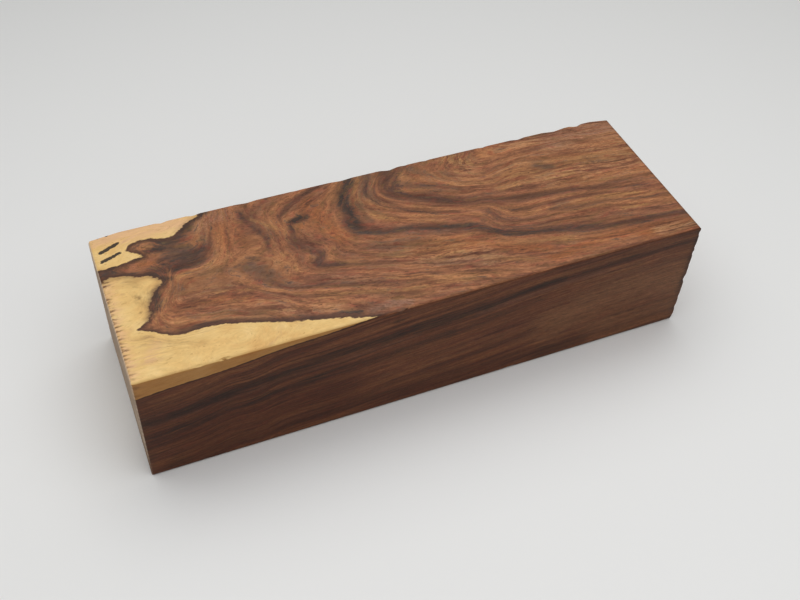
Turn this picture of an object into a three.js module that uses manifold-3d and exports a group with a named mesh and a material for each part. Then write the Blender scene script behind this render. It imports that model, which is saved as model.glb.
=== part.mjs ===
import * as THREE from 'three';
import { mergeVertices } from 'three/addons/utils/BufferGeometryUtils.js';
import Module from 'manifold-3d';

// A block of desert ironwood, sawn to length and planed for a knife handle. Millimetres.
// X runs with the grain along the length, Y across the width, Z up from the face it rests on.
// The origin is on the resting face, under the middle of the block.

// Overall size, measured over the crests of the sawn faces
const blockLength = 136.8;
const blockWidth = 45.2;
const blockHeight = 32.6;

// How far the arrises are worn: most at the back right corner, least along the sawn faces,
// whose hollows show in the arris
const arrisWear = 0.35;
const sawnArrisWear = 0.1;
const cornerWear = 0.6;

// The back face is left from the band saw and the right end from a coarse cross-cut. Each edge
// is a straight crest that falls away at its two ends and has these hollows, seen in the photo:
// how far along the middle of one lies, half its length, and its depth.
const backEdge = {
  start: { reach: 8, depth: 0.9 },
  hollows: [
    { at: 17, reach: 1.8, depth: 0.5 },
    { at: 24.5, reach: 2, depth: 0.5 },
    { at: 37.5, reach: 3.5, depth: 0.4 },
    { at: 50, reach: 3, depth: 0.2 },
    { at: 61.5, reach: 4, depth: 0.4 },
    { at: 74, reach: 2.8, depth: 0.7 },
    { at: 78.4, reach: 1.4, depth: 0.3 },
    { at: 84, reach: 1.8, depth: 0.3 },
    { at: 99.8, reach: 1.4, depth: 0.4 },
    { at: 110, reach: 2.4, depth: 0.5 },
    { at: 120.4, reach: 4, depth: 0.6 },
    { at: 127, reach: 2, depth: 0.8 },
  ],
  end: { reach: 6, depth: 1 },
};
const rightEndEdge = {
  start: { reach: 2.4, depth: 0.6 },
  hollows: [
    { at: 4.8, reach: 1.6, depth: 0.4 },
    { at: 8.6, reach: 1.4, depth: 0.3 },
    { at: 15, reach: 1.8, depth: 0.6 },
    { at: 20, reach: 0.8, depth: 0.3 },
    { at: 23.8, reach: 1.1, depth: 0.5 },
    { at: 26, reach: 0.8, depth: 0.6 },
    { at: 30.4, reach: 1.1, depth: 0.5 },
  ],
  end: { reach: 0.8, depth: 0.7 },
};

// The left end was cut by a circular blade, which left arcs as fine as its feed for each tooth
const bladeRadius = 125;
const bladeMarkPitch = 0.83;
const bladeMarkDepth = 0.16;
const bladeMarkCount = 72;
const bladeFacets = 60;
const bladeBody = 4;
const endSpare = 0.6;

// The direction, in the end face, from the blade's centre to the front top corner
const bladeReach = new THREE.Vector2(-0.756, 0.655);

// Chips broken out of the arrises: where, and half the length, width and depth of each
const chips = [
  { at: [-54.2, -blockWidth / 2, blockHeight], half: [1.2, 0.55, 0.5] },
  { at: [-48.8, -blockWidth / 2, blockHeight], half: [1.5, 0.5, 0.55] },
  { at: [-8.9, -blockWidth / 2, blockHeight], half: [2.2, 0.6, 0.5] },
  { at: [21, -blockWidth / 2, 0], half: [2.7, 0.7, 0.6] },
  { at: [-61.5, blockWidth / 2, 0], half: [2, 1.4, 0.7] },
  { at: [33, blockWidth / 2, 0], half: [2.6, 1.1, 0.6] },
];
const chipSides = 8;
const chipRings = 5;

// Corners closer together than this are one corner
const weldDistance = 1e-4;

const leftEnd = -blockLength / 2;
const rightEnd = blockLength / 2;
const frontFace = -blockWidth / 2;
const backFace = blockWidth / 2;

// An outline drawn in one view, carried square through the block
function carriedOutline(points, depth) {
  const outline = new THREE.Shape(points.map(([across, up]) => new THREE.Vector2(across, up)));
  const carried = new THREE.ExtrudeGeometry(outline, { depth, bevelEnabled: false });
  return carried.translate(0, 0, -depth / 2);
}

// A sawn edge as pairs of a place along it and the depth there below its crest
function sawnEdge({ start, hollows, end }, length) {
  const pairs = [[0, start.depth], [start.reach, 0]];
  for (const { at, reach, depth } of hollows) {
    pairs.push([at - reach, 0], [at, depth], [at + reach, 0]);
  }
  pairs.push([length - end.reach, 0], [length, end.depth]);
  return pairs;
}

// Seen from above: straight planed front, sawn back with its hollows
function planSolid() {
  const back = sawnEdge(backEdge, blockLength)
    .map(([along, inset]) => [leftEnd + along, backFace - inset]);
  const lastBack = back.pop();
  const firstBack = back.shift();
  return carriedOutline([
    [leftEnd - endSpare, frontFace + arrisWear + endSpare],
    [leftEnd + arrisWear, frontFace],
    [rightEnd - sawnArrisWear, frontFace],
    [rightEnd, frontFace + sawnArrisWear],
    [rightEnd, lastBack[1] - cornerWear],
    [rightEnd - cornerWear, lastBack[1]],
    ...back.reverse(),
    [leftEnd + arrisWear, firstBack[1]],
    [leftEnd - endSpare, firstBack[1] - arrisWear - endSpare],
  ], 2 * blockHeight).translate(0, 0, blockHeight / 2);
}

// Seen from the front: sawn right end, and the left end left long for the blade to cut
function elevationSolid() {
  const right = sawnEdge(rightEndEdge, blockHeight)
    .map(([height, inset]) => [rightEnd - inset, height]);
  const frontToBack = new THREE.Matrix4().makeBasis(
    new THREE.Vector3(1, 0, 0),
    new THREE.Vector3(0, 0, 1),
    new THREE.Vector3(0, -1, 0),
  );
  return carriedOutline([
    [leftEnd + arrisWear, 0],
    ...right,
    [leftEnd + arrisWear, blockHeight],
    [leftEnd - endSpare, blockHeight - arrisWear - endSpare],
    [leftEnd - endSpare, arrisWear + endSpare],
  ], 2 * blockWidth).applyMatrix4(frontToBack);
}

// Seen from the end: square, with its long arrises worn at the front and nearly sharp at the back
function endSolid() {
  const leftToRight = new THREE.Matrix4().makeBasis(
    new THREE.Vector3(0, 1, 0),
    new THREE.Vector3(0, 0, 1),
    new THREE.Vector3(1, 0, 0),
  );
  return carriedOutline([
    [frontFace + arrisWear, 0],
    [backFace - sawnArrisWear, 0],
    [backFace, sawnArrisWear],
    [backFace, blockHeight - sawnArrisWear],
    [backFace - sawnArrisWear, blockHeight],
    [frontFace + arrisWear, blockHeight],
    [frontFace, blockHeight - arrisWear],
    [frontFace, arrisWear],
  ], 2 * blockLength).applyMatrix4(leftToRight);
}

// The circular blade's path through the left end: a disc with a grooved face, its axle along X
function bladePath() {
  const profile = [new THREE.Vector2(0, -bladeBody)];
  profile.push(new THREE.Vector2(bladeRadius + bladeMarkPitch, -bladeBody));
  for (let mark = 0; mark < bladeMarkCount; mark += 1) {
    const radius = bladeRadius + (1 - mark) * bladeMarkPitch;
    profile.push(new THREE.Vector2(radius, 0));
    profile.push(new THREE.Vector2(radius - bladeMarkPitch / 2, bladeMarkDepth));
  }
  profile.push(new THREE.Vector2(0, bladeMarkDepth));
  const axleY = frontFace - bladeReach.x * bladeRadius;
  const axleZ = blockHeight - bladeReach.y * bladeRadius;
  return new THREE.LatheGeometry(profile, bladeFacets)
    .rotateZ(-Math.PI / 2)
    .translate(leftEnd, axleY, axleZ);
}

function chipSolid({ at, half }) {
  return new THREE.SphereGeometry(1, chipSides, chipRings).scale(...half).translate(...at);
}

const wasm = await Module();
wasm.setup();

// A closed geometry as a solid that can be joined and cut
function solidOf(geometry) {
  geometry.deleteAttribute('normal');
  geometry.deleteAttribute('uv');
  const merged = mergeVertices(geometry, weldDistance);
  return new wasm.Manifold(new wasm.Mesh({
    numProp: 3,
    vertProperties: new Float32Array(merged.attributes.position.array),
    triVerts: new Uint32Array(merged.index.array),
  }));
}

function geometryOf(solid) {
  const cut = solid.getMesh();
  const geometry = new THREE.BufferGeometry();
  geometry.setAttribute('position', new THREE.BufferAttribute(cut.vertProperties, 3));
  geometry.setIndex(new THREE.BufferAttribute(cut.triVerts, 1));
  geometry.computeVertexNormals();
  return geometry;
}

let block = solidOf(planSolid()).intersect(solidOf(elevationSolid())).intersect(solidOf(endSolid()));
block = block.subtract(solidOf(bladePath()));
for (const chip of chips) {
  block = block.subtract(solidOf(chipSolid(chip)));
}

// Heartwood left planed, with no finish on it
const planedIronwood = new THREE.MeshStandardMaterial({
  color: 0x8a5c42,
  roughness: 0.55,
  metalness: 0,
});

const ironwoodBlock = new THREE.Mesh(geometryOf(block), planedIronwood);
ironwoodBlock.name = 'ironwood_block';

const part = new THREE.Group();
part.add(ironwoodBlock);

export default part;
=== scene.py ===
import math

import bmesh
import bpy
import numpy as np
from mathutils import Matrix, Vector


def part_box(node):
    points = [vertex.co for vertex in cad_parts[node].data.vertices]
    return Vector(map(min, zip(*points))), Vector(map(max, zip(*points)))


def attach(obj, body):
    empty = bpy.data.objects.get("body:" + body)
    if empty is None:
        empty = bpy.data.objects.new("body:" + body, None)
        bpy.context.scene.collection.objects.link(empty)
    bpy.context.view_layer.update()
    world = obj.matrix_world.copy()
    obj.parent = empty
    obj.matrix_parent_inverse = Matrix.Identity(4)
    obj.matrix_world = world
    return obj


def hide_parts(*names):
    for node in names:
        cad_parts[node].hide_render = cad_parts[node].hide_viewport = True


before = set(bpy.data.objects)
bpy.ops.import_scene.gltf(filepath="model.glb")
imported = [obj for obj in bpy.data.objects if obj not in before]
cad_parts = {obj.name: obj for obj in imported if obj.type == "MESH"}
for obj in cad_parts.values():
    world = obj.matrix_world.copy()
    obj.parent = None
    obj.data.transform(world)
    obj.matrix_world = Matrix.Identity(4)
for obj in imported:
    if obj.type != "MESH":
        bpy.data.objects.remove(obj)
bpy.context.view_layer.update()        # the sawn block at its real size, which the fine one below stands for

mm = 0.001
blockNode = "ironwood_block"
blockLow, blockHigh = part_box(blockNode)

# Places on the wood are in millimetres: along from the left end, in from the front face, down from the top
endCrest = 0.2           # mm, how far the left end's crests stand out past where along starts
woodStart = Vector((blockLow.x / mm + endCrest, blockLow.y / mm, blockHigh.z / mm))
blockTall = (blockHigh.z - blockLow.z) / mm


def linearColour(hexCode):
    # an sRGB hex colour as the linear colour that Blender's sockets take
    parts = [int(hexCode[i:i + 2], 16) / 255 for i in (1, 3, 5)]
    return [c / 12.92 if c <= 0.04045 else ((c + 0.055) / 1.055) ** 2.4 for c in parts] + [1]


def addNode(tree, kind, gives, inputs=None, stops=None, **settings):
    # one shader node with its settings, fixed inputs, links and colour stops, and the output to use
    made = tree.nodes.new(kind)
    for name, value in settings.items():
        setattr(made, name, value)
    for socket, value in (inputs or {}).items():
        if isinstance(value, bpy.types.NodeSocket):
            tree.links.new(value, made.inputs[socket])
        else:
            made.inputs[socket].default_value = value
    if stops:
        elements = made.color_ramp.elements
        elements[0].position, elements[-1].position = stops[0][0], stops[-1][0]
        for place, shade in stops[1:-1]:
            elements.new(place)
        for element, (place, shade) in zip(elements, stops):
            element.color = linearColour(shade) if isinstance(shade, str) else (shade,) * 3 + (1,)
    return made.outputs[gives]


# Camera, where the photograph was taken from
viewpoint = {
    "place": (-73.6, -161.06, 198.06),  # mm from the middle of the resting face
    "tilt": 43.229,                     # degrees up from straight down
    "roll": 3.213,
    "heading": -24.713,
    "lens": 46.63,
    "sensor": 36,
    "near": 0.01,                       # metres
    "far": 20,
}

cameraData = bpy.data.cameras.new("viewCamera")
cameraData.lens = viewpoint["lens"]
cameraData.sensor_width = viewpoint["sensor"]
cameraData.clip_start = viewpoint["near"]
cameraData.clip_end = viewpoint["far"]
camera = bpy.data.objects.new("viewCamera", cameraData)
bpy.context.scene.collection.objects.link(camera)
cameraTurn = (Matrix.Rotation(math.radians(viewpoint["heading"]), 4, "Z")
              @ Matrix.Rotation(math.radians(viewpoint["tilt"]), 4, "X")
              @ Matrix.Rotation(math.radians(viewpoint["roll"]), 4, "Z"))
camera.matrix_world = Matrix.Translation(Vector(viewpoint["place"]) * mm) @ cameraTurn
bpy.context.scene.camera = camera
print("camera placed")


# Light: a soft box behind and one overhead, so that the front is lit mostly by the pale floor
studio = {
    "airColour": "#FBFCF8",
    "airStrength": 0.26,
    "floorColour": "#E8E8E8",
    "floorRoughness": 0.9,
    "floorShine": 0.1,
    "floorSide": 6000,
    "floorDrop": 0.05,   # keeps the floor clear of the resting face
}
softBoxes = {            # mm, and watts
    "keyBox": {"place": (20, 155, 490), "aim": (20, -675, 210), "size": (900, 500),
               "colour": "#FFFEFB", "power": 0.78},
    "ceilingBox": {"place": (10, -110, 400), "aim": (0, -115, 0), "size": (680, 500),
                   "colour": "#FEFEFF", "power": 1.22},
}

scene = bpy.context.scene
scene.view_settings.view_transform = "Standard"
scene.view_settings.look = "Medium High Contrast"
world = bpy.data.worlds.new("studioAir")
world.use_nodes = True
background = world.node_tree.nodes["Background"]
background.inputs["Color"].default_value = linearColour(studio["airColour"])
background.inputs["Strength"].default_value = studio["airStrength"]
scene.world = world


def makeSoftBox(name, box):
    data = bpy.data.lights.new(name, "AREA")
    data.shape = "RECTANGLE"
    data.size, data.size_y = (side * mm for side in box["size"])
    data.energy = box["power"]
    data.color = linearColour(box["colour"])[:3]
    lamp = bpy.data.objects.new(name, data)
    scene.collection.objects.link(lamp)
    lamp.location = Vector(box["place"]) * mm
    lamp.rotation_euler = (Vector(box["aim"]) - lamp.location / mm).to_track_quat("-Z", "Y").to_euler()


for name, box in softBoxes.items():
    makeSoftBox(name, box)


def makeFloor():
    sheet = bmesh.new()
    bmesh.ops.create_grid(sheet, x_segments=1, y_segments=1, size=studio["floorSide"] * mm / 2)
    bmesh.ops.translate(sheet, verts=sheet.verts, vec=(0, 0, -studio["floorDrop"] * mm))
    mesh = bpy.data.meshes.new("studioFloor")
    sheet.to_mesh(mesh)
    sheet.free()
    floor = bpy.data.objects.new("studioFloor", mesh)
    scene.collection.objects.link(floor)
    paper = bpy.data.materials.new("mattPaper")     # plain seamless paper, no shine
    paper.use_nodes = True
    shader = paper.node_tree.nodes["Principled BSDF"]
    shader.inputs["Base Color"].default_value = linearColour(studio["floorColour"])
    shader.inputs["Roughness"].default_value = studio["floorRoughness"]
    shader.inputs["Specular IOR Level"].default_value = studio["floorShine"]
    mesh.materials.append(paper)
    return floor


floor = makeFloor()
print("studio made")


# The block's fine mesh: a box cut into a close grid, laid onto the sawn solid
lattice = {
    "cuts": (208, 88, 62),        # between the ends, front and back, bottom and top
    "arrisLines": (0.16, 0.36),   # mm from each arris, where its wear is drawn
    "endSlack": 0.001,            # mm, how near the left end a corner counts as on it
}


def gridPlaces(low, high, count):
    # where the grid lines lie along one direction: two close to each arris, the rest even
    near = [line * mm for line in lattice["arrisLines"]]
    inner = np.linspace(low + near[-1], high - near[-1], count + 2 - 2 * len(near))
    return np.concatenate([[low, low + near[0]], inner, [high - near[0], high]])


def makeLattice():
    cage = bmesh.new()
    bmesh.ops.create_cube(cage, size=1)
    for axis, cuts in enumerate(lattice["cuts"]):
        along = [e for e in cage.edges if abs(e.verts[0].co[axis] - e.verts[1].co[axis]) > 0.5]
        bmesh.ops.subdivide_edges(cage, edges=along, cuts=cuts, use_grid_fill=True)
    for axis, cuts in enumerate(lattice["cuts"]):
        places = gridPlaces(blockLow[axis], blockHigh[axis], cuts)
        for vertex in cage.verts:
            vertex.co[axis] = places[round((vertex.co[axis] + 0.5) * (cuts + 1))]
    leftEnd = blockLow.x + lattice["endSlack"] * mm
    endEdges = [e for e in cage.edges if all(v.co.x < leftEnd for v in e.verts)]
    bmesh.ops.subdivide_edges(cage, edges=endEdges, cuts=1, use_grid_fill=True)   # for the fine saw arcs
    bmesh.ops.recalc_face_normals(cage, faces=cage.faces)
    mesh = bpy.data.meshes.new("ironwoodBlock")
    cage.to_mesh(mesh)
    cage.free()
    return mesh


blockMesh = makeLattice()
block = bpy.data.objects.new("ironwoodBlock", blockMesh)
scene.collection.objects.link(block)
print("lattice made:", len(blockMesh.vertices), "corners")


# Growth rings seen on the top face. Each line is one ring: how deep it runs below the hook
# ring, in mm, then the places where it shows, as (along, in). The single places on the front
# arris follow how deep the hook ring shows on the front face below them
ringLines = [
    (0, [(64.8, 45.5), (62.5, 42.5), (60.2, 39.8), (58.9, 37.5), (58.6, 35), (58.3, 31.5),
         (57.9, 28.7), (59.7, 25.8), (64, 23.9), (69, 22.9), (73, 22), (77, 20.5), (82, 19),
         (86, 17.5), (89, 15.5), (92, 13.7), (96, 12.6), (102, 11.3), (108, 9.2), (115, 8.2),
         (122, 7.8), (130, 7), (137, 6.4)]),
    (2.7, [(70, 45.5), (66.8, 41), (65.2, 38), (66.3, 34.8), (70, 31), (74, 28.3), (79, 26.2),
           (85, 24.7), (89, 23.6), (91.5, 21.8), (92.3, 19.4), (94.7, 17.6), (100, 16.6),
           (107, 16.8), (118, 15.8), (128, 14), (137, 13.3)]),
    (5.6, [(74.5, 45.5), (70.8, 41.8), (69, 38.3), (70.3, 35.6), (73.5, 33.2), (78, 31.2),
           (81.5, 29.7), (84.5, 28.2), (88, 26.7), (95, 25.1), (100, 24.3), (108, 23.6),
           (120, 22.1), (137, 20)]),
    (7.6, [(80, 45.5), (76.5, 40.5), (79, 36.6), (85, 33.4), (91, 31), (98, 29.6), (108, 29),
           (118, 28), (128, 26.6), (137, 25.6)]),
    (9.9, [(89, 45.5), (86, 40.5), (88, 37), (93, 34.8), (99, 35.4), (105, 36.6), (111, 35.6),
           (117, 34.8), (124, 33), (137, 31)]),
    (12.4, [(97, 45.5), (95, 42), (98, 39.6), (104, 40), (111, 40.6), (118, 39.4), (126, 38.2),
            (137, 36.6)]),
    (14.8, [(108, 45.5), (114, 44.6), (121, 44.2), (129, 43), (137, 42)]),
    (-3.2, [(56.5, 45.5), (51.5, 42.8), (47.2, 40.6), (44.3, 38.3), (43, 35.3), (43.4, 31.8),
            (44.5, 28.2), (46.8, 25.6), (48.4, 22.9), (47.3, 20.7), (46.9, 19.2), (50, 17.8),
            (55, 16.4), (60, 14.9), (66, 12.5), (72, 10.5), (80, 8.9), (88, 6.9), (98, 4.4),
            (110, 2.9), (137, 1.4)]),
    (-4.9, [(43.5, 45.5), (39.6, 42), (38.8, 38.5), (40, 35.2), (40.6, 31), (40.2, 27),
            (41, 23), (40.4, 19.6), (42.3, 17), (47, 15.4), (53, 13.6), (60, 11.6), (68, 8.9),
            (76, 6.3), (86, 3.2)]),
    (-6, [(37.6, 45.5), (35.3, 41.2), (35.7, 37.6), (37.2, 34.6), (37.8, 31.5), (36.7, 28.4),
          (35.4, 25), (34.3, 21.4), (34.6, 18), (38, 15), (45, 13), (50, 11.4), (55, 9.5),
          (60, 7.9), (70, 5.3), (80, 2.6)]),
    (-6.7, [(33, 45.5), (31.8, 40), (31.3, 35.5), (29.8, 31.4), (28, 24)]),
    (-7.4, [(20, 23.6)]), (-8.6, [(15, 22.8)]), (-10.2, [(12, 22)]),
    (-7.1, [(42, 10.7), (50, 8.2), (57, 5.5), (64, 3)]),
    (-8, [(15, 19.5), (20, 19), (25, 17.4), (30, 15), (35, 12.5)]),
    (-9.3, [(15, 26.8), (20, 28.4), (24.4, 30.4), (26.4, 34), (27.2, 38), (27.6, 42),
            (29, 45.5), (11, 17.6), (15, 15.2), (21, 13.2), (28, 11), (35, 8.6)]),
    (-10.7, [(30, 8), (22, 11), (12, 11.6), (13, 33.6), (18, 34.4), (22.5, 34.5),
             (10.8, 38.6), (6, 33)]),
    (-12, [(25, 8), (12, 8.8), (7, 12), (4.3, 14), (7, 16.4), (8.2, 18.8), (9, 21.8),
           (11, 25.4), (13, 26.8), (10.5, 29.8), (5, 31), (0, 32), (4, 34.8), (9, 36), (7, 38.7),
           (10, 41.3), (16, 40.2), (20, 41.8), (25, 45.5)]),
    (-13.5, [(5, 26), (3, 20), (12, 6.5), (25, 5), (2, 40), (9, 44)]),
    (-15.1, [(0, 0)]), (-14.1, [(10, 0)]), (-11.7, [(20, 0)]), (-10.4, [(30, 0)]),
    (-9.8, [(40, 0)]), (-9.1, [(46, 3), (50, 0)]), (-8.1, [(60, 0)]), (-7.5, [(70, 0)]),
    (-6.8, [(80, 0)]), (-5.7, [(90, 0)]), (-5.1, [(100, 0)]), (-4.8, [(110, 0)]), (-4.5, [(120, 0)]),
    (-4.1, [(137, 0)]), (-13, [(0, 9), (0, 45.5)]),
]

# Where the figure is quiet: (how much, along, in, half length, half width)
quietSpots = [(0.7, 95, 45, 8, 5), (0.35, 118, 37, 20, 8)]

# Lower in the block the rings dip towards the back and round one swelling
deepSlope = 0.34                   # mm of ring depth for each mm in
deepSwell = (3, 84, 27, 34, 9)     # mm of ring depth, along, in, half length, half width

# How clear the fine lines are: less where the rings run across the block, and below the top
clarity = {
    "step": 0.3,                # mm, to see which way the rings run
    "level": 0.02,              # keeps that steady where the rings hardly change
    "across": (0.25, 0.875),    # share of the rings' change that lies along: none lost, all lost
    "lostAcross": 0.62,
    "lostBelow": 0.68,
    "topReach": 6,              # mm below the top face over which it changes
}

# Edge of the heartwood on the top face, from the front arris round to the back one
heartEdge = [(54.5, -1), (53.2, 0.2), (46.8, 2.6), (40, 3.8), (35, 5), (30, 7), (25.5, 8.3),
             (22, 9.4), (18, 9.8), (12, 9.6), (10, 10.5), (7, 12.5), (4.3, 14), (7, 16), (8.4, 18),
             (8, 19.5), (9, 21.5), (10.5, 24), (13, 26.3), (11.5, 27.5), (10.5, 29), (8, 29.3),
             (5, 30.8), (2, 31.3), (-1, 29.7), (-1, 34.2), (4, 34.3), (8, 35), (10.5, 35.3),
             (9.5, 36.5), (8, 37.5), (7, 38.7), (8, 40), (10, 40.8), (13, 40.7), (16, 39.5),
             (18, 39.5), (20, 41), (22, 42.8), (25, 44.2), (27, 47)]
roundHeart = [(200, 60), (200, -20), (60, -20)]    # closes that edge round the rest of the block
edgeReach = 20         # mm, as far as the distance from that edge is told
sapSlope = 0.37        # how fast the sapwood thickens away from that edge, mm for each mm
sapFrontDepth = 5.2    # mm, its depth at the left end of the front face
sapLength = 53.2       # mm, how far it reaches along the front face
sapSway = 0.5          # mm, how far its edge there sways from straight
swayLength = 4.1       # mm along for each radian of the sway
sapTurn = 0.88         # mm further from that edge for each mm in
frontReach = 4         # mm in, over which the front face's edge gives way to the top's

# The rings' field, bent over their lines
plateSlack = 0.4       # how loosely it keeps to them
plateParts = 12        # it is worked out in parts, to save memory


def thinPlate(lines, places):
    # a smooth field that takes each line's value along it, as a thin plate bent over them would
    known = np.array([point for value, line in lines for point in line], float)
    values = np.array([value for value, line in lines for point in line], float)
    flat = np.zeros((3, 3))

    def bending(a, b):
        gap = ((a[:, None] - b[None]) ** 2).sum(2)
        return gap * np.log(gap + 1e-9)

    plane = np.column_stack([np.ones(len(known)), known])
    system = np.block([[bending(known, known) + plateSlack * np.eye(len(known)), plane],
                       [plane.T, flat]])
    weights = np.linalg.solve(system, np.concatenate([values, np.zeros(3)]))
    found = np.zeros(len(places))
    for part in np.array_split(np.arange(len(places)), plateParts):
        found[part] = (bending(places[part], known) @ weights[:len(known)]
                       + np.column_stack([np.ones(len(part)), places[part]]) @ weights[len(known):])
    return found


def lineDistance(line, places):
    # how far each place lies from a line through the given points
    nearest = np.full(len(places), 1e9)
    for start, end in zip(np.array(line[:-1], float), np.array(line[1:], float)):
        step = end - start
        share = np.clip((places - start) @ step / (step @ step), 0, 1)
        nearest = np.minimum(nearest, np.linalg.norm(places - start - share[:, None] * step, axis=1))
    return nearest


def insideOutline(line, places):
    # True where a place lies inside the closed outline
    inside = np.zeros(len(places), bool)
    for (ax, ay), (bx, by) in zip(line, line[1:] + line[:1]):
        if ay == by:
            continue
        crosses = (ay > places[:, 1]) != (by > places[:, 1])
        inside ^= crosses & (places[:, 0] < (bx - ax) * (places[:, 1] - ay) / (by - ay) + ax)
    return inside


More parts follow.
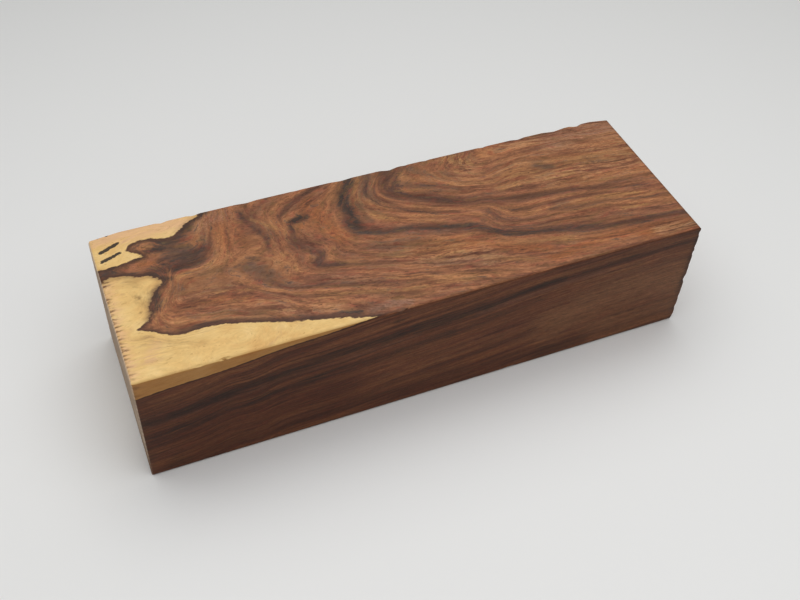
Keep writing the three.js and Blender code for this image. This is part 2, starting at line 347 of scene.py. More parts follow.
# What the rings alone don't give: tints in the wood, as (strength, half width in mm, line).
# Lines on the top face are (along, in), and lines on the front face are (along, down)
tints = {
    "orange": {"colour": "#A2653E", "torn": 2.2, "top": [
        (0.55, 3.5, [(29, 40), (29, 33)]),
        (0.7, 3.5, [(51, 39), (52.5, 31), (54.5, 26)]),
        (0.45, 2.6, [(16, 23.5), (25, 22.5)]),
        (0.7, 3, [(69, 15.5), (75, 13.5), (82, 11.5)]),
        (0.35, 2.4, [(12, 17), (22, 14.5), (32, 11.5)]),
        (0.6, 2, [(14, 18.6), (20, 17.4), (29, 15)]),
        (0.5, 2, [(32.5, 39), (32.8, 31)]),
        (0.7, 1, [(9, 33), (13, 32.4)]),
        (0.7, 2.4, [(82, 14), (90, 9.5), (98, 6)]),
        (0.6, 2, [(66, 18.5), (74, 16.5), (80, 16)]),
        (0.75, 2, [(98, 3), (110, 4.6), (124, 4.6), (137, 3)]),
        (0.6, 0.7, [(15, 12.2), (18, 11.8)]),
        (0.5, 3, [(98, 42), (112, 43)]),
        (0.5, 6, [(96, 38), (112, 39), (132, 38)]),
        (0.5, 3, [(112, 25), (135, 24)]),
        (0.6, 1.2, [(134.5, 31.5), (136, 30)]),
        (0.95, 2, [(122, 2.6), (137, 2.2)]),
        (0.6, 1.2, [(46.5, 33), (47.5, 32.6)]),
    ], "front": []},
    "gold": {"colour": "#AE8253", "torn": 2.6, "top": [
        (0.6, 1.5, [(65.6, 45), (63.4, 41), (62.2, 37), (62.6, 33)]),
        (0.7, 1.3, [(64.5, 31), (67, 28)]),
        (1.0, 0.9, [(110, 28.4), (117, 28.3)]),
        (0.6, 1.5, [(97.5, 29.2), (101.5, 29)]),
        (0.7, 2.6, [(90, 44), (93, 40)]),
        (0.5, 5, [(105, 32), (120, 31), (134, 32)]),
        (0.5, 3.5, [(68, 15.5), (78, 13)]),
        (0.3, 1.2, [(79, 42.5), (82, 39), (88, 36)]),
        (0.7, 1, [(61, 17.4), (65.5, 15.3)]),
        (0.6, 0.5, [(15, 21.4), (22, 21), (29, 19.6)]),
        (0.6, 0.45, [(13, 14.6), (22, 12.4), (31, 9.8), (40, 7.6)]),
        (0.5, 0.4, [(22, 16.6), (30, 13.4), (38, 10.6), (47, 8.2)]),
        (0.6, 1, [(100, 32.4), (106, 32)]),
        (0.7, 0.9, [(118, 18.3), (125, 17), (129, 15.9)]),
        (0.6, 1.1, [(122, 12.4), (128, 11.6)]),
        (0.6, 1.1, [(100, 8.8), (105, 7)]),
        (0.5, 0.8, [(104, 13.6), (110, 12.8)]),
        (0.4, 1.6, [(124, 2.6), (137, 2)]),
        (0.7, 0.7, [(36.6, 38.8), (39, 36.3), (41.3, 33.8)]),
        (0.6, 0.7, [(14, 26.3), (20, 26.9), (27, 26.3)]),
        (0.6, 0.6, [(19, 19.6), (25, 18.4), (31, 16.8)]),
        (0.5, 1.2, [(44, 10.3), (52, 8.3), (60, 6)]),
        (0.6, 0.9, [(62, 5.5), (70, 4.6), (78, 3.2)]),
        (0.5, 0.9, [(60, 10), (66, 8.6)]),
        (0.5, 2.5, [(127, 32), (133, 29)]),
        (0.6, 1.2, [(83, 7.8), (92, 4.9)]),
        (0.5, 0.6, [(40, 25.5), (40.6, 22), (41.5, 18.6)]),
    ], "front": []},
    "tan": {"colour": "#B58A66", "torn": 2.2, "top": [
        (0.42, 7, [(92, 38), (112, 39), (134, 38)]),
        (0.75, 1.8, [(126, 2.6), (137, 2)]),
        (0.5, 1.5, [(34, 8.4), (40, 6.8), (46, 5.4)]),
        (0.45, 1.4, [(48, 13.4), (55, 11.4)]),
        (0.4, 5, [(110, 27), (135, 26)]),
        (0.45, 4, [(70, 13), (84, 9)]),
        (0.3, 1.4, [(18, 15.6), (27, 12.8), (36, 9.6)]),
        (0.7, 1.8, [(103, 43.4), (114, 42.6)]),
        (0.7, 1.8, [(114, 39.6), (122, 38.6)]),
        (0.5, 1, [(14, 19.4), (22, 18.2)]),
        (0.5, 3, [(114, 42), (122, 40)]),
    ], "front": [
        (1.0, 8, [(100, 20), (114, 15), (137, 17)]),
        (0.8, 6, [(112, 26), (137, 27)]),
        (0.3, 4, [(55, 21), (85, 19)]),
    ]},
    "grey": {"colour": "#735948", "torn": 2.2, "top": [
        (0.85, 3, [(31, 24), (33.5, 22), (35, 19.5)]),
        (0.6, 2.4, [(15, 22.6), (20, 22.4), (26, 21.4)]),
        (0.5, 2, [(20, 13), (25, 11.4), (30, 9.6)]),
        (0.6, 2.2, [(77.5, 45.6), (79.5, 42), (83, 39), (88, 37)]),
        (0.5, 2.2, [(21, 25.6), (28, 25)]),
        (0.3, 2.5, [(31, 43), (34, 39)]),
        (0.9, 1.5, [(109.5, 34), (112.5, 32.4)]),
        (0.5, 1.2, [(57, 15), (63, 13)]),
        (0.45, 0.9, [(70, 11.2), (78, 8.8), (86, 6.6)]),
        (0.5, 1.2, [(38, 14.5), (46, 12.2), (52, 10.4)]),
        (0.7, 1.2, [(66.5, 36.6), (66.8, 34.8)]),
        (0.6, 1.2, [(62.5, 35.4), (62, 31.8), (63, 29)]),
        (0.9, 2.2, [(68, 44.6), (66.2, 41), (65.6, 37.5)]),
        (0.5, 2, [(76, 38), (82, 34.5), (87, 32)]),
        (0.7, 1.1, [(15.4, 14.2), (17, 13.2)]),
        (0.5, 2, [(40, 42), (43, 43.5)]),
        (0.5, 1.6, [(36, 38), (38, 35.5), (40, 32)]),
        (0.6, 1.2, [(106, 19.2), (110, 18.8)]),
        (0.5, 1.3, [(98, 35.2), (103, 36.4)]),
        (0.95, 4, [(16, 37), (19.5, 32.4)]),
        (0.6, 1.8, [(24.8, 38), (25.4, 31)]),
        (0.5, 4, [(62, 20), (70, 18)]),
    ], "front": []},
    "pale": {"colour": "#9B7560", "torn": 1.8, "top": [
        (0.6, 3, [(24, 41), (30, 43)]),
        (0.6, 5, [(118, 42), (134, 42)]),
        (1.0, 1.2, [(52.8, 2), (57, 2.4), (61.5, 1.6)]),
        (0.6, 0.8, [(71, 37.6), (75, 38.4)]),
        (0.5, 0.8, [(46, 22), (47, 23)]),
        (0.5, 0.5, [(92.6, 22), (92.8, 20.6)]),
    ], "front": [
        (0.8, 0.6, [(0, 15.6), (12, 14.4), (22, 13.3), (30, 11.8), (40, 11.6), (52, 10.9),
                    (64, 10)]),
        (0.95, 0.7, [(78, 8.8), (86, 7.8), (93, 7.2), (100, 6.6), (112, 6.3)]),
    ]},
    "umber": {"colour": "#5C4238", "torn": 2.6, "top": [
        (0.9, 3.2, [(74.2, 46), (72.8, 42.5), (71.6, 39), (71.8, 37)]),
        (0.9, 1.6, [(71, 37), (74, 34.6), (78, 32.2), (82, 30), (86, 28)]),
        (0.5, 2.4, [(75, 38.5), (79, 36), (83, 34)]),
        (0.6, 1.8, [(86, 28), (90, 26.7), (95, 25.4), (99, 24.3)]),
        (0.7, 1.9, [(84, 19), (90, 15.2), (96, 12.6), (104, 10.8), (112, 8.8), (120, 7.6),
                    (137, 5.8)]),
        (0.75, 1.3, [(13, 10.8), (20, 10.6), (26, 9.1), (33, 6.4), (40, 4.8)]),
        (0.7, 1.5, [(99, 24), (106, 23.4), (114, 22.6)]),
        (0.35, 1.5, [(114, 22.4), (124, 21.5), (137, 21)]),
        (0.8, 0.55, [(69, 46), (66.5, 42), (65.2, 38.5), (66, 35.5), (69, 32.2), (73, 28.9),
                     (78, 26.6), (84, 24.6)]),
        (0.85, 1.2, [(44.8, 33.5), (43.8, 30), (43.8, 27.5), (45.3, 24.5)]),
        (0.85, 1.1, [(45.3, 24.5), (48.3, 23), (48.6, 21.5), (46.8, 20.2)]),
        (0.95, 1.3, [(46.5, 19.6), (48.5, 18.7), (52, 17.8)]),
        (0.5, 0.8, [(52, 17.8), (57, 16.4)]),
        (0.6, 0.7, [(43, 37.5), (46, 40.4), (50, 43), (56, 45)]),
        (0.75, 0.9, [(34.2, 42.5), (34.8, 40), (35.6, 37.3), (37.3, 34.5), (38, 31.5)]),
        (0.7, 0.8, [(38, 31.5), (37.6, 28.5), (38, 26)]),
        (0.6, 1, [(39.5, 42.5), (42.5, 45), (46, 45.6)]),
        (0.55, 0.8, [(29, 25.2), (32, 26.6), (35.5, 25.8)]),
        (0.55, 0.7, [(30, 21), (34, 18.5), (37, 15.5)]),
        (0.6, 0.5, [(91.3, 23.4), (91.2, 20.8), (93, 18.5), (97, 17), (103, 16.6)]),
        (0.45, 0.5, [(89.5, 24.5), (89.3, 21), (91, 18.5)]),
        (0.5, 0.4, [(93.5, 22.5), (93.2, 20.5), (95, 19)]),
        (0.7, 0.35, [(96, 20.6), (104, 20.7), (113, 20.1), (122, 20.1), (129, 18.8), (133, 17.8)]),
        (0.7, 0.5, [(105, 17.8), (112, 16.5), (119, 16.2), (126, 14.9), (131, 13.7), (137, 14.6)]),
        (0.5, 0.7, [(95, 35), (100, 37), (106, 37.1), (111, 35.9)]),
        (0.55, 1, [(109, 39.6), (114, 40)]),
        (0.45, 0.7, [(120.5, 37), (122.5, 33.5), (124, 28.5)]),
        (0.55, 0.5, [(45, 13.8), (52, 11), (58, 9.2), (64, 7.3)]),
        (0.5, 0.4, [(36, 14), (42, 12.5), (48, 11.5)]),
        (0.5, 0.5, [(89, 4.6), (94, 2.9)]),
        (0.6, 3, [(13.5, 38), (18, 36.5), (22, 33)]),
        (0.85, 1.8, [(11, 30), (15, 29.5), (21, 31)]),
        (0.7, 1.2, [(13.5, 33), (18, 32.8), (21, 33.6)]),
        (0.8, 1.5, [(0, 32.2), (5, 32.6)]),
        (1.0, 1.15, [(45.2, 35), (48.8, 35.4)]),
        (0.5, 1.1, [(88, 19.6), (90.6, 22.6)]),
        (0.5, 0.45, [(7.6, 38.7), (9, 40.2), (12, 40.4), (14.5, 39.6)]),
    ], "front": [
        (0.3, 9, [(0, 22), (20, 23), (45, 24)]),
        (0.45, 4, [(5, 29), (25, 27), (45, 28), (70, 27), (90, 28.5)]),
        (0.4, 3, [(0, 8), (20, 7), (36, 5)]),
        (0.4, 1.6, [(66, 23), (84, 22), (94, 20)]),
        (0.3, 4, [(0, 9), (20, 8), (38, 6)]),
    ]},
    "russet": {"colour": "#6B3B2A", "torn": 1.2, "top": [], "front": [
        (0.6, 11, [(0, 18), (20, 19), (42, 20)]),
    ]},
    "smoke": {"colour": "#453A35", "torn": 2.6, "top": [
        (1.0, 1.9, [(64, 46.5), (62.3, 43), (60, 40.3)]),
        (1.0, 2.3, [(60, 40.3), (59, 37.5), (59, 33), (58.5, 29.5), (59, 27.4)]),
        (1.0, 1.3, [(58.6, 27.2), (61, 25.7), (63.5, 24.5)]),
        (0.85, 1, [(63.5, 24.5), (67, 23.6), (71, 23.4), (75, 22), (80, 20.4)]),
        (0.85, 1.1, [(80, 20.4), (84, 19.3), (87, 17.6), (89.5, 15.4)]),
        (0.7, 1.3, [(89.5, 15.4), (92, 13.8), (96, 12.6)]),
        (0.6, 1.2, [(96, 12.6), (100, 11.7), (104, 10.8)]),
        (0.4, 1.2, [(104, 10.8), (110, 9.1), (118, 7.9)]),
        (0.5, 1.1, [(118, 8), (126, 7.4), (137, 6)]),
        (1.0, 1.3, [(12, 36.8), (14.6, 36.2)]),
        (0.6, 1.3, [(14, 28.8), (19, 29), (22.5, 30.4)]),
        (0.35, 1.8, [(22, 30.6), (23.4, 33), (23, 36)]),
        (0.75, 1.8, [(15.5, 38.2), (19, 38.3), (22, 41.4)]),
        (0.4, 2.4, [(16, 36), (21, 34.6)]),
        (0.6, 0.7, [(14, 31.4), (19, 32), (22.5, 33.2)]),
        (0.9, 1, [(10.3, 29), (12.5, 27.6), (14.5, 26.4)]),
        (1.0, 1.2, [(9.4, 18.4), (10, 20.5), (10.6, 22.3)]),
        (0.7, 0.8, [(11, 23.5), (13.4, 26)]),
        (0.85, 0.5, [(0, 33.9), (6, 34.2), (10.5, 35)]),
        (0.85, 0.6, [(0, 30.4), (3, 31.2), (7, 30.6), (10.3, 29.4)]),
        (0.6, 1.3, [(0, 32.2), (3, 32.4)]),
        (0.8, 1.1, [(20.4, 41), (23, 43.2), (27, 45)]),
        (0.35, 3, [(14, 37.6), (19, 36), (22, 33)]),
        (0.85, 1.2, [(45.9, 35), (48.2, 35.5)]),
        (0.8, 0.4, [(10, 39), (10.4, 39)]),
        (0.5, 0.9, [(58, 0.4), (60.5, 0.8)]),
        (0.65, 0.7, [(40, 4.6), (46, 3.6), (50.5, 2.4)]),
        (0.7, 0.6, [(136.6, 2), (136.6, 44)]),
    ], "front": [
        (0.75, 1.1, [(136.4, 2), (136, 20)]),
        (0.5, 0.9, [(136, 20), (136, 32)]),
        (0.8, 1.9, [(-1, 14), (6, 13.6), (12, 12.6), (20, 11.6), (30, 10.1), (42, 9.1), (52, 8.6),
                    (62, 7.8), (72, 7.2), (80, 6.9)]),
        (0.85, 1.4, [(80, 6.9), (92, 5.4), (100, 4.7)]),
        (0.55, 1.6, [(100, 4.7), (112, 4.3), (125, 3.9), (137, 3.4)]),
        (0.6, 2, [(2, 19.4), (12, 17.6), (22, 16.6), (34, 15), (45, 14.4), (60, 14), (72, 12.6)]),
        (0.4, 1.5, [(72, 12.6), (84, 11.4), (95, 10.4)]),
        (0.5, 2.6, [(96, 30.5), (109, 30)]),
    ]},
    "flush": {"colour": "#DFB68C", "torn": 2.2, "top": [
        (0.6, 1.8, [(5, 5.5), (7.2, 8.6)]),
        (0.8, 2.4, [(0, 2), (0.4, 28)]),
        (1.0, 3.5, [(0, 45), (8, 44), (20, 44)]),
    ], "front": []},
    "stain": {"colour": "#8C7048", "torn": 1.8, "top": [
        (0.9, 0.6, [(6.3, 23.6), (6.9, 22.9)]),
        (0.7, 0.35, [(5.2, 24.4), (5.6, 24)]),
        (0.9, 0.4, [(6.1, 18.7), (6.4, 18.4)]),
        (0.5, 1, [(7, 21), (8, 22.5)]),
        (0.38, 3, [(6.5, 28), (7, 22)]),
        (0.3, 3.2, [(4, 11), (9, 8), (16, 6.6)]),
    ], "front": []},
}
tintDepth = 7          # mm below its face at which a tint has mostly gone
penStrokes = [[(1.6, 39.6), (5.9, 41.4)], [(1.4, 36.6), (5.7, 38.2)]]   # two plain tally strokes
penReach = 3           # mm, as far as the distance from a stroke is told
penSink = 4            # how many times faster the ink ends going down than going sideways

# Where the heartwood's edge is torn into the sapwood: (strength, half width in mm, line)
fringes = [
    (1.0, 1.8, [(8, 16.6), (9.2, 20.5), (11, 24.5)]),
    (0.6, 1.5, [(0, 30.6), (6, 30.4), (10.3, 29), (13.5, 26.4)]),
    (0.3, 1.5, [(20, 41), (27, 45)]),
]


def strokeField(strokes, places):
    # the strongest stroke at each place, fading out across its width
    field = np.zeros(len(places))
    for strength, width, line in strokes:
        field = np.maximum(field, strength * np.exp(-(lineDistance(line, places) / width) ** 2))
    return field


def mound(along, inward, middle, inside, length, width):
    # 1 at the middle of a patch, falling away over its half length and half width
    return np.exp(-((along - middle) / length) ** 2 - ((inward - inside) / width) ** 2)


def writeField(mesh, name, values):
    attribute = mesh.attributes.new(name, "FLOAT", "POINT")
    attribute.data.foreach_set("value", np.asarray(values, np.float32))


def growWood(mesh):
    # what the wood is like at each corner of the mesh
    corners = np.zeros(len(mesh.vertices) * 3)
    mesh.vertices.foreach_get("co", corners)
    corners = corners.reshape(-1, 3) / mm
    along = corners[:, 0] - woodStart.x
    inward = corners[:, 1] - woodStart.y
    depth = woodStart.z - corners[:, 2]
    fromAbove, above = np.unique(np.column_stack([along, inward]).round(4), axis=0, return_inverse=True)
    above = above.ravel()
    inFront, front = np.unique(np.column_stack([along, depth]).round(4), axis=0, return_inverse=True)
    front = front.ravel()

    topRings = thinPlate(ringLines, fromAbove)
    frontRings = thinPlate(ringLines, fromAbove * (1, 0))
    swell = deepSwell[0] * mound(along, inward, *deepSwell[1:])
    deepRings = frontRings[above] + deepSlope * inward + swell
    sink = np.clip(depth / blockTall, 0, 1)
    sink = sink * sink * (3 - 2 * sink)
    writeField(mesh, "rings", depth + topRings[above] * (1 - sink) + deepRings * sink)

    step = clarity["step"]
    acrossLength = np.abs(thinPlate(ringLines, fromAbove + (step, 0)) - topRings)
    acrossWidth = np.abs(thinPlate(ringLines, fromAbove + (0, step)) - topRings)
    steep = acrossLength / (acrossLength + acrossWidth + clarity["level"])
    noneLost, allLost = clarity["across"]
    lost = np.clip((steep[above] - noneLost) / (allLost - noneLost), 0, 1)
    shallow = np.exp(-depth / clarity["topReach"])    # 1 on the top face, fading below it
    crisp = 1 - clarity["lostAcross"] * lost * shallow - clarity["lostBelow"] * (1 - shallow)
    for strength, *patch in quietSpots:
        crisp *= 1 - strength * mound(along, inward, *patch) * shallow
    writeField(mesh, "crisp", crisp)

    inHeart = insideOutline(heartEdge + roundHeart, fromAbove)
    toEdge = lineDistance(heartEdge, fromAbove) * np.where(inHeart, 1, -1)
    toFrontEdge = (along / sapLength - 1) * sapFrontDepth / sapSlope + sapTurn * inward
    toFrontEdge += sapSway * np.sin(along / swayLength) * np.clip(depth, 0, 1)
    nearFront = np.exp(-(inward / frontReach) ** 2)
    toEdge = toEdge[above] * (1 - nearFront) + toFrontEdge * nearFront
    writeField(mesh, "heartDepth", np.clip(toEdge + depth / sapSlope, -edgeReach, edgeReach))
    writeField(mesh, "fringe", strokeField(fringes, fromAbove)[above] * shallow)

    for name, tint in tints.items():
        onTop = strokeField(tint["top"], fromAbove)[above] * np.exp(-depth / tintDepth)
        onFront = strokeField(tint["front"], inFront)[front] * np.exp(-inward / tintDepth)
        writeField(mesh, name, np.maximum(onTop, onFront))
    penGap = np.minimum.reduce([lineDistance(line, fromAbove) for line in penStrokes])[above]
    writeField(mesh, "penGap", np.clip(penGap + penSink * depth, 0, penReach))


growWood(blockMesh)
print("rings grown")


def layOntoSolid(piece):
    # draws the fine grid onto the sawn solid, so every hollow, chip and worn arris is the solid's own
    wrap = piece.modifiers.new("ontoSolid", "SHRINKWRAP")
    wrap.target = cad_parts[blockNode]
    wrap.wrap_method = "NEAREST_SURFACEPOINT"
    settled = bpy.context.evaluated_depsgraph_get()
    laid = bpy.data.meshes.new_from_object(piece.evaluated_get(settled), depsgraph=settled,
                                           preserve_all_data_layers=True)
    piece.modifiers.clear()
    piece.data = laid
    laid.name = "ironwoodBlock"
    laid.shade_smooth()
    return laid


blockMesh = layOntoSolid(block)
print("laid onto the solid")


# Colours of the wood, as it looks unfinished and dry, with painted shade on the faces other than the top and
# painted light on the left end
ironwood = {
    "heart": ("#7A503E", "#8F6048", "#A06D4E", "#AE7A54", "#BC8B62"),
    "heartStops": (0.3, 0.42, 0.5, 0.6, 0.74),
    "red": "#93503C",
    "olive": "#80663F",
    "bands": "#5E443A",
    "rim": "#4E3930",
    "smudge": "#6E5240",
    "pores": "#3E2B24",
    "sap": ("#D8AE72", "#E2BF82", "#E9CA92"),
    "sapStops": (0.3, 0.5, 0.7),
    "sapPores": "#A87C48",
    "ink": "#26252B",
    "sawn": "#AA917C",        # sawdust held in the sawn faces
    # painted light with real dust: the left end's sawdust made paler than dust alone, to stand for the light
    # its grazing face catches
    "sawnLeft": "#D9C6B1",
    "burnt": "#5C3D29",
    "paintedSideShade": "#BFB0A8",    # painted shade: every face but the top darkened, as they get less light than the top
    "paintedSideShadeSap": "#CBB39E",
    "fibreRelief": 0.03,      # mm
    "planedRoughness": 0.5,
    "sawnRoughness": 0.85,
    "ragged": 1.4,            # mm, the reach of the noise that tears the heartwood's edge
    "raggedFringe": 1.6,      # mm, and what a full fringe adds to it
    "ior": 1.5,
    "shine": 0.3,
}

# Dark rings: depth below the hook ring in mm, half width in mm, darkness
darkRings = [
    (-7.1, 0.2, 0.4), (-6, 0.35, 0.5), (-4.9, 0.2, 0.4), (-3.2, 0.35, 0.6), (-1.9, 0.2, 0.4),
    (0, 0.5, 0.4), (1.4, 0.25, 0.4), (2.7, 0.3, 0.6), (4.1, 0.25, 0.4), (5.6, 0.6, 0.35),
    (7.6, 0.3, 0.3), (9.2, 0.3, 0.3), (11.2, 0.3, 0.2), (16.6, 1.2, 0.25),
    (19.5, 0.9, 0.35), (22, 0.4, 0.25), (24.5, 1.2, 0.4), (28, 0.8, 0.35), (31, 0.5, 0.35),
]
ringReach = ((-14, 6.8), (6.8, 34))    # a colour ramp holds half of the rings at most

# The saw that cut the left end: its centre in the end face, and the pitch of its marks, in mm
endSaw = {"axle": (71.9, -49.3), "pitch": 0.83}
leftEdge = blockLow.x / mm
frontEdge = blockLow.y / mm


def ringBands(tree, ring):
    # darkness of the ring bands at a ring depth
    bands = 0
    for low, high in ringReach:
        stops = [(0, 0)]
        for depth, half, dark in darkRings:
            if low < depth < high:
                middle, reach = (depth - low) / (high - low), half / (high - low)
                stops += [(middle - reach, 0), (middle, dark), (middle + reach, 0)]
        stops.append((1, 0))
        share = addNode(tree, "ShaderNodeMapRange", "Result",
                        {"Value": ring, "From Min": low, "From Max": high})
        bandsHere = addNode(tree, "ShaderNodeValToRGB", "Color", {"Fac": share}, sorted(stops))
        bands = addNode(tree, "ShaderNodeMath", "Value", {0: bands, 1: bandsHere}, operation="MAXIMUM")
    return bands


def makeIronwood():
    # dry planed desert ironwood: nearly matt, figured brown with open pores, rough where it was sawn
    wood = bpy.data.materials.new("planedIronwood")
    wood.use_nodes = True
    tree = wood.node_tree
    names = ("rings", "crisp", "heartDepth", "fringe", "penGap", *tints)
    fields = {name: addNode(tree, "ShaderNodeAttribute", "Fac", attribute_name=name) for name in names}
    place = addNode(tree, "ShaderNodeVectorMath", "Vector",
                    {0: addNode(tree, "ShaderNodeTexCoord", "Object"), 1: (1 / mm,) * 3},
                    operation="MULTIPLY")
    facing = {name: addNode(tree, "ShaderNodeVectorMath", "Value",
                            {0: addNode(tree, "ShaderNodeTexCoord", "Normal"), 1: way},
                            operation="DOT_PRODUCT")
              for name, way in (("leftEnd", (-1, 0, 0)), ("rightEnd", (1, 0, 0)),
                                ("back", (0, 1, 0)), ("top", (0, 0, 1)))}

    def grain(ring, period, acrossRings, detail, seed):
        # noise that keeps to the rings: its size along, inward and down, and across them, in mm
        spot = addNode(tree, "ShaderNodeVectorMath", "Vector",
                       {0: place, 1: [1 / p for p in period], 2: (seed,) * 3},
                       operation="MULTIPLY_ADD")
        layer = addNode(tree, "ShaderNodeMath", "Value", {0: ring, 1: 1 / acrossRings},
                        operation="MULTIPLY")
        return addNode(tree, "ShaderNodeTexNoise", "Fac",
                       {"Vector": spot, "W": layer, "Scale": 1, "Detail": detail, "Roughness": 0.6},
                       noise_dimensions="4D")

    def shift(value, noise, reach):
        # value moved by noise; most of it moves less than a sixth of reach
        centred = addNode(tree, "ShaderNodeMath", "Value", {0: noise, 1: 0.5}, operation="SUBTRACT")
        return addNode(tree, "ShaderNodeMath", "Value", {0: centred, 1: reach, 2: value},
                       operation="MULTIPLY_ADD")

    wander = grain(fields["rings"], (30, 9, 10), 3, 2, 3.1)
    ring = shift(fields["rings"], wander, 1.2)
    jitter = grain(ring, (6, 2, 2.5), 0.45, 3, 11.7)
    fineRing = shift(ring, jitter, 1)
    tone = grain(ring, (38, 9, 12), 1.3, 3, 23.9)
    line = grain(ring, (26, 6, 4), 0.62, 3, 7.7)
    streak = grain(fineRing, (13, 4, 3), 0.26, 4, 41.3)
    fibre = grain(fineRing, (2.6, 0.8, 0.6), 0.1, 2, 57.1)     # coarser than real, to show here
    pore = grain(fineRing, (1.5, 0.5, 0.4), 0.07, 1, 71.9)
    mottle = grain(ring, (0.9, 0.45, 0.45), 0.6, 2, 13.3)
    tornEdge = grain(ring, (1.5, 0.7, 0.6), 0.9, 3, 83.3)
    hue = grain(fineRing, (5, 1.6, 1.2), 0.35, 3, 95.1)
    sapTone = grain(ring, (9, 5, 4), 3, 4, 5.5)
    tick = grain(ring, (60, 0.8, 0.8), 60, 1, 29.7)     # the same along each saw mark's length

    raggedness = addNode(tree, "ShaderNodeMath", "Value",
                         {0: fields["fringe"], 1: ironwood["raggedFringe"], 2: ironwood["ragged"]},
                         operation="MULTIPLY_ADD")
    edge = shift(fields["heartDepth"], tornEdge, raggedness)
    torn = {name: shift(shift(fields[name], streak, tint["torn"]), fibre, tint["torn"] / 2)
            for name, tint in tints.items()}
    toSawAxle = addNode(tree, "ShaderNodeVectorMath", "Value",
                        {0: addNode(tree, "ShaderNodeVectorMath", "Vector",
                                    {0: place, 1: (0, 1, 1)}, operation="MULTIPLY"),
                         1: (0, *endSaw["axle"])}, operation="DISTANCE")
    sawArc = addNode(tree, "ShaderNodeMath", "Value", {0: toSawAxle, 1: endSaw["pitch"] / 2},
                     operation="PINGPONG")
    fromLeftEnd = addNode(tree, "ShaderNodeVectorMath", "Value", {0: place, 1: (1, 0, 0)},
                          operation="DOT_PRODUCT")
    fromFront = addNode(tree, "ShaderNodeVectorMath", "Value", {0: place, 1: (0, 1, 0)},
                        operation="DOT_PRODUCT")
    fromFoot = addNode(tree, "ShaderNodeVectorMath", "Value", {0: place, 1: (0, 0.5, 1)},
                       operation="DOT_PRODUCT")
    # Scratches, as so many marks for each mm along, in and up
    backScratch = addNode(tree, "ShaderNodeTexNoise", "Fac", {
        "Vector": addNode(tree, "ShaderNodeVectorMath", "Vector",
                          {0: place, 1: (1.3, 0, 0.09)}, operation="MULTIPLY"),
        "Scale": 1, "Detail": 5})
    endScratch = addNode(tree, "ShaderNodeTexNoise", "Fac", {
        "Vector": addNode(tree, "ShaderNodeVectorMath", "Vector",
                          {0: place, 1: (0, 0.12, 2.4)}, operation="MULTIPLY"),
        "Scale": 1, "Detail": 3})
    sandScratch = addNode(tree, "ShaderNodeTexNoise", "Fac", {
        "Vector": addNode(tree, "ShaderNodeMapping", "Vector",
                          {"Vector": place, "Rotation": (0, 0, -1.1), "Scale": (0.08, 2, 0.3)}),
        "Scale": 1, "Detail": 2})

    # Each share: what it follows, between which two values, and what it gives at each
    shares = {
        "bandStrength": (wander, 0.38, 0.62, 0.3, 1),
        "lineLight": (line, 0.34, 0.66, 0.76, 1.2),
        "streakLight": (streak, 0.32, 0.68, 0.68, 1.26),
        "fibreLight": (fibre, 0.3, 0.7, 0.76, 1.18),
        "mottleLight": (mottle, 0.3, 0.7, 0.88, 1.11),
        "sandLight": (sandScratch, 0.3, 0.7, 0.95, 1.04),
        "reddish": (hue, 0.53, 0.68, 0, 0.5),
        "olive": (hue, 0.46, 0.32, 0, 0.4),
        "porous": (pore, 0.37, 0.3, 0, 0.55),
        "rim": (edge, 1.7, 0.1, 0, 0.85),
        "nearHeart": (edge, -1.9, 0.1, 0, 0.9),
        "sapFibre": (fibre, 0.3, 0.7, 0.92, 1.05),
        "sapPorous": (pore, 0.34, 0.28, 0, 0.45),
        "inHeart": (edge, -0.16, 0.16, 0, 1),
        # painted shade: 1 on every face but the top, which are darkened as if in shade
        "paintedSideShade": (facing["top"], 0.8, 0.3, 0, 1),
        "ink": (shift(fields["penGap"], mottle, 1), 0.55, 0.4, 0, 0.92),
        "sawnLeft": (facing["leftEnd"], 0.5, 0.75, 0, 1),
        "sawnRight": (facing["rightEnd"], 0.5, 0.75, 0, 1),
        "sawnBack": (facing["back"], 0.5, 0.75, 0, 1),
        "arcGroove": (shift(sawArc, mottle, 1.1), 0.04, 0.4, 0, 1),
        "byLeftEdge": (shift(fromLeftEnd, tick, 6), leftEdge + 1.9, leftEdge + 0.3, 0, 0.8),
        "belowPen": (fromFront, frontEdge + 33, frontEdge + 30, 0, 1),
        "behindCorner": (fromFront, frontEdge + 1, frontEdge + 12, 0.5, 1),
        "dustBack": (backScratch, 0.3, 0.7, 0.16, 0.4),
        "dustRight": (endScratch, 0.3, 0.7, 0.12, 0.45),
        # painted light with real dust: how pale the left end is, varying with the saw arcs
        "dustAndLightLeft": (shift(sawArc, wander, 0.9), 0.1, 0.35, 0.84, 0.6),
        # weakens the left end's pale layer towards the foot and the front
        "aboveFoot": (fromFoot, frontEdge / 2 + 1, frontEdge / 2 + 14, 0.25, 1),
    }
    for name in tints:
        shares[name] = (torn[name], 0.05, 1.15, 0, 1)
    shares = {name: addNode(tree, "ShaderNodeMapRange", "Result",
                            {"Value": follows, "From Min": low, "From Max": high,
                             "To Min": atLow, "To Max": atHigh}, interpolation_type="SMOOTHSTEP")
              for name, (follows, low, high, atLow, atHigh) in shares.items()}

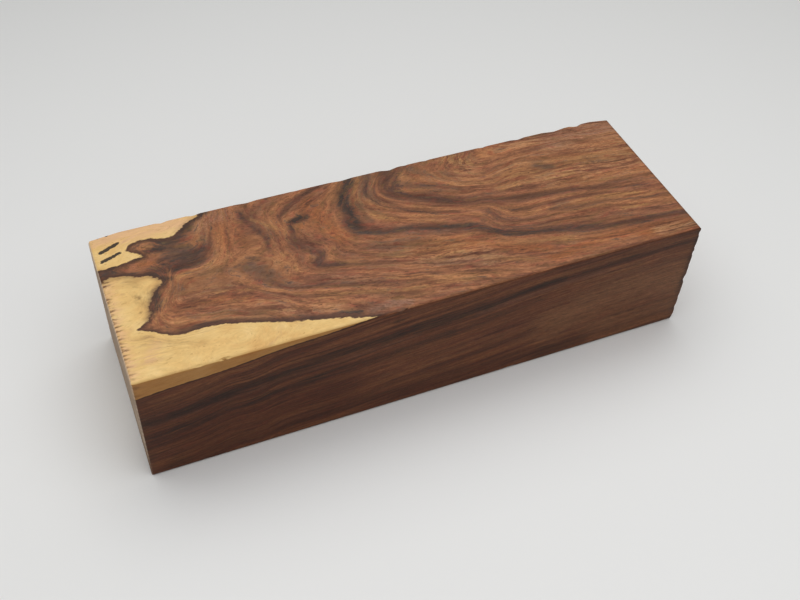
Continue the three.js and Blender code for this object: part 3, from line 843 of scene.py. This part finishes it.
    # Some layers show only where two shares meet
    shares["rings"], shares["fringe"] = ringBands(tree, fineRing), fields["fringe"]
    meetings = {
        "bands": ("rings", "bandStrength"),
        "smudge": ("nearHeart", "fringe"),
        "bladeMarks": ("arcGroove", "byLeftEdge"),
        "marksBelowPen": ("bladeMarks", "belowPen"),
        "burntMarks": ("marksBelowPen", "behindCorner"),
        "dustOnBack": ("dustBack", "sawnBack"),
        "dustOnRight": ("dustRight", "sawnRight"),
        # the left end's pale layer: painted light with its dust
        "dustAndLightAboveFoot": ("dustAndLightLeft", "aboveFoot"),
        "dustAndLightOnLeft": ("dustAndLightAboveFoot", "sawnLeft"),
    }
    for name, (first, second) in meetings.items():
        shares[name] = addNode(tree, "ShaderNodeMath", "Value", {0: shares[first], 1: shares[second]},
                               operation="MULTIPLY")
    sawn = addNode(tree, "ShaderNodeMath", "Value", {0: shares["sawnBack"], 1: shares["sawnRight"]},
                   operation="MAXIMUM")
    sawn = addNode(tree, "ShaderNodeMath", "Value", {0: sawn, 1: shares["sawnLeft"]},
                   operation="MAXIMUM")
    roughness = addNode(tree, "ShaderNodeMapRange", "Result",
                        {"Value": sawn, "To Min": ironwood["planedRoughness"],
                         "To Max": ironwood["sawnRoughness"]})

    heartwood = addNode(tree, "ShaderNodeValToRGB", "Color", {"Fac": tone},
                        list(zip(ironwood["heartStops"], ironwood["heart"])))
    sapwood = addNode(tree, "ShaderNodeValToRGB", "Color", {"Fac": sapTone},
                      list(zip(ironwood["sapStops"], ironwood["sap"])))
    heartLayers = [(shares[name], tints[name]["colour"], "MIX")
                   for name in ("orange", "gold", "tan", "grey", "pale", "umber", "russet", "smoke")] + [
        (shares["reddish"], ironwood["red"], "MIX"),
        (shares["olive"], ironwood["olive"], "MIX"),
        (shares["bands"], ironwood["bands"], "MIX"),
        (fields["crisp"], shares["lineLight"], "MULTIPLY"),
        (fields["crisp"], shares["streakLight"], "MULTIPLY"),
        (1, shares["fibreLight"], "MULTIPLY"),
        (1, shares["mottleLight"], "MULTIPLY"),
        (1, shares["sandLight"], "MULTIPLY"),
        (shares["porous"], ironwood["pores"], "MIX"),
        (shares["rim"], ironwood["rim"], "MIX"),
        # painted shade on the heartwood of the faces other than the top
        (shares["paintedSideShade"], ironwood["paintedSideShade"], "MULTIPLY"),
    ]
    sapLayers = [(shares[name], tints[name]["colour"], "MIX") for name in ("flush", "stain")] + [
        (1, shares["sapFibre"], "MULTIPLY"),
        (shares["sapPorous"], ironwood["sapPores"], "MIX"),
        (shares["smudge"], ironwood["smudge"], "MIX"),
        # painted shade on the sapwood of the faces other than the top
        (shares["paintedSideShade"], ironwood["paintedSideShadeSap"], "MULTIPLY"),
    ]

    def lay(colour, layers):
        for share, over, blend in layers:
            over = linearColour(over) if isinstance(over, str) else over
            colour = addNode(tree, "ShaderNodeMix", 2, {0: share, 6: colour, 7: over},
                             data_type="RGBA", blend_type=blend)
        return colour

    colour = lay(lay(sapwood, sapLayers), [
        (shares["inHeart"], lay(heartwood, heartLayers), "MIX"),
        (shares["burntMarks"], ironwood["burnt"], "MIX"),
        # painted light with real dust on the left end
        (shares["dustAndLightOnLeft"], ironwood["sawnLeft"], "MIX"),
        (shares["dustOnRight"], ironwood["sawn"], "MIX"),
        (shares["dustOnBack"], ironwood["sawn"], "MIX"),
        (shares["ink"], ironwood["ink"], "MIX"),
    ])

    shader = tree.nodes["Principled BSDF"]
    tree.links.new(colour, shader.inputs["Base Color"])
    tree.links.new(roughness, shader.inputs["Roughness"])
    shader.inputs["IOR"].default_value = ironwood["ior"]
    shader.inputs["Specular IOR Level"].default_value = ironwood["shine"]
    relief = fibre         # each other height is so many times the fibres' own
    for share, height in (("porous", -0.8), ("dustOnBack", 4), ("dustOnRight", 4)):
        relief = addNode(tree, "ShaderNodeMath", "Value", {0: shares[share], 1: height, 2: relief},
                         operation="MULTIPLY_ADD")
    bump = addNode(tree, "ShaderNodeBump", "Normal",
                   {"Height": relief, "Distance": ironwood["fibreRelief"] * mm, "Strength": 1})
    tree.links.new(bump, shader.inputs["Normal"])
    return wood


blockMesh.materials.clear()
blockMesh.materials.append(makeIronwood())
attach(block, "root")
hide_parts(blockNode)
print("wood coloured")
